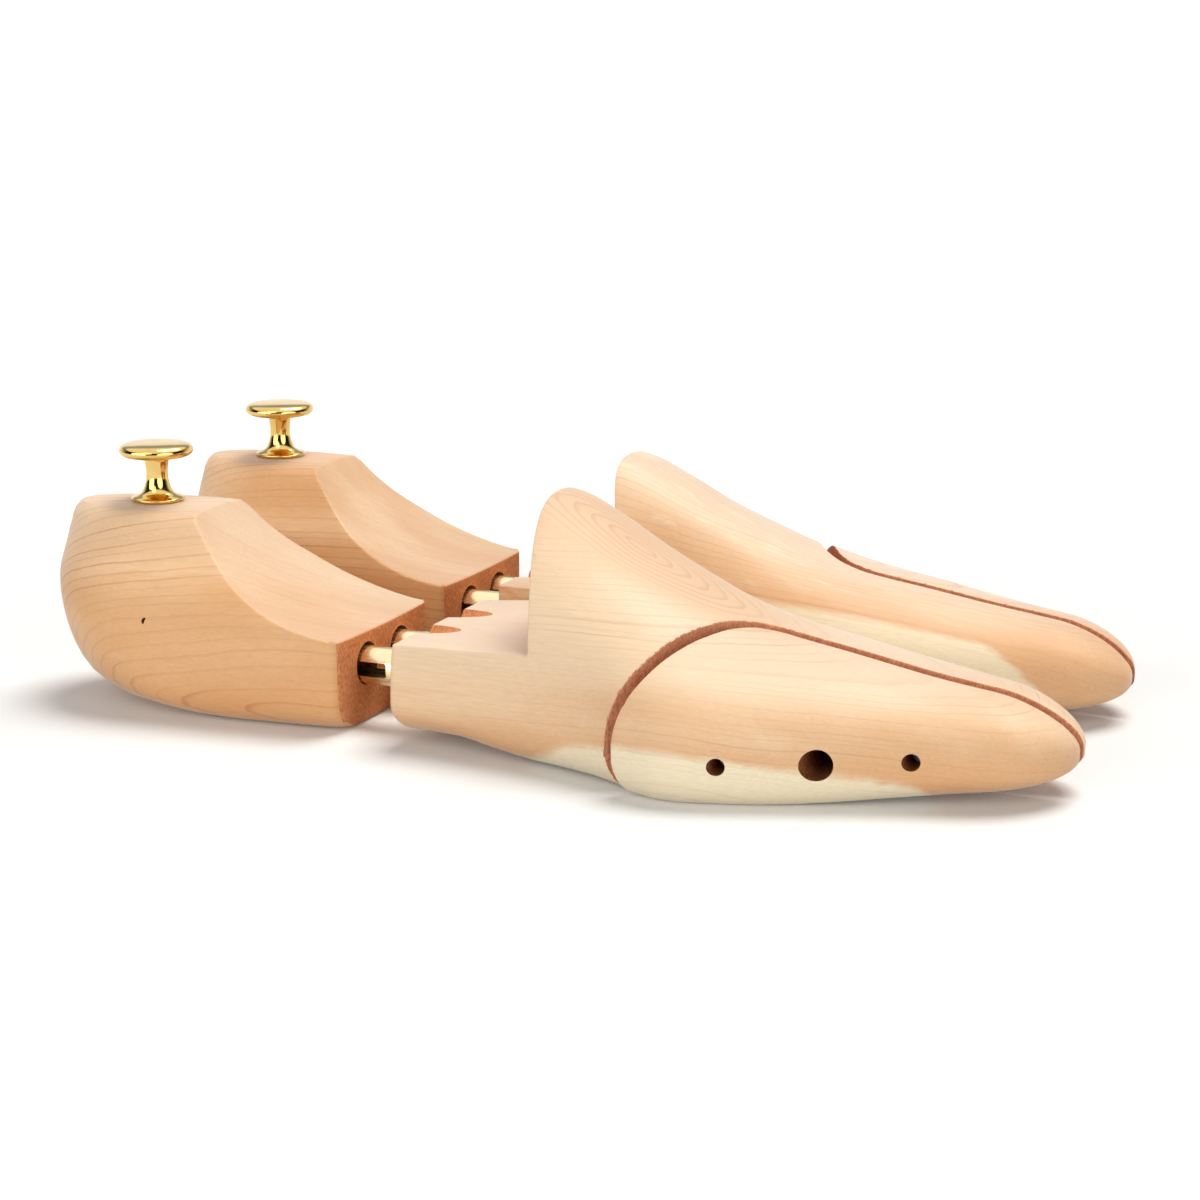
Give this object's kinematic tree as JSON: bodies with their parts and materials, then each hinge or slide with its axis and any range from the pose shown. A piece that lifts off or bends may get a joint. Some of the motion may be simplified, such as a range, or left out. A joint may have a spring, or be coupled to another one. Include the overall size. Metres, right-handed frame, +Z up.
{
  "type": "pair of shoe trees",
  "caption": "Pair of wooden shoe trees with a knobbed heel block, sprung brass tubes and a split, sprung toe.",
  "frame": {"origin": "middle of the pair's footprint, on the floor", "axes": "+X towards the toes, +Y from the right tree to the left tree, +Z up"},
  "size_m": [0.3024, 0.1754, 0.073],
  "materials": {
    "cedar_heel_block": "sanded, unvarnished",
    "cedar_forepart": "sanded, unvarnished",
    "cedar_side_piece": "sanded, unvarnished",
    "polished_brass": "polished",
    "drawn_brass_tube": "drawn, satin",
    "steel_pin": "ground",
    "zinc_plated_screw": "zinc plated",
    "spring_steel": "plain"
  },
  "bodies": {
    "heel_blocks": {"right_heel_block": "cedar_heel_block", "right_knob": "polished_brass", "right_knob_screw": "zinc_plated_screw", "right_retaining_pin": "steel_pin", "right_outer_tube_spring": "spring_steel", "right_inner_tube_spring": "spring_steel", "left_heel_block": "cedar_heel_block", "left_knob": "polished_brass", "left_knob_screw": "zinc_plated_screw", "left_retaining_pin": "steel_pin", "left_outer_tube_spring": "spring_steel", "left_inner_tube_spring": "spring_steel"},
    "right_front": {"right_forepart": "cedar_forepart", "right_outer_tube": "drawn_brass_tube", "right_inner_tube": "drawn_brass_tube", "right_rear_guide_pin": "steel_pin", "right_front_guide_pin": "steel_pin", "right_toe_screw": "zinc_plated_screw", "right_toe_spring": "spring_steel"},
    "right_side": {"right_side_piece": "cedar_side_piece"},
    "left_front": {"left_forepart": "cedar_forepart", "left_outer_tube": "drawn_brass_tube", "left_inner_tube": "drawn_brass_tube", "left_rear_guide_pin": "steel_pin", "left_front_guide_pin": "steel_pin", "left_toe_screw": "zinc_plated_screw", "left_toe_spring": "spring_steel"},
    "left_side": {"left_side_piece": "cedar_side_piece"}
  },
  "joints": [
    {"name": "right_tube_slide", "type": "slide", "parent": "heel_blocks", "child": "right_front", "axis": [1, 0, 0], "range_m": [-0.016, 0], "stiffness_N_per_m": 900, "springref_m": 0.008, "deforming": ["right_outer_tube_spring", "right_inner_tube_spring"]},
    {"name": "right_toe_spread", "type": "slide", "parent": "right_front", "child": "right_side", "axis": [0, -1, 0], "range_m": [-0.003, 0], "stiffness_N_per_m": 2500, "springref_m": 0.002, "deforming": ["right_toe_spring"]},
    {"name": "left_tube_slide", "type": "slide", "parent": "heel_blocks", "child": "left_front", "axis": [1, 0, 0], "range_m": [-0.016, 0], "stiffness_N_per_m": 900, "springref_m": 0.008, "deforming": ["left_outer_tube_spring", "left_inner_tube_spring"]},
    {"name": "left_toe_spread", "type": "slide", "parent": "left_front", "child": "left_side", "axis": [0, 1, 0], "range_m": [-0.003, 0], "stiffness_N_per_m": 2500, "springref_m": 0.002, "deforming": ["left_toe_spring"]}
  ]
}
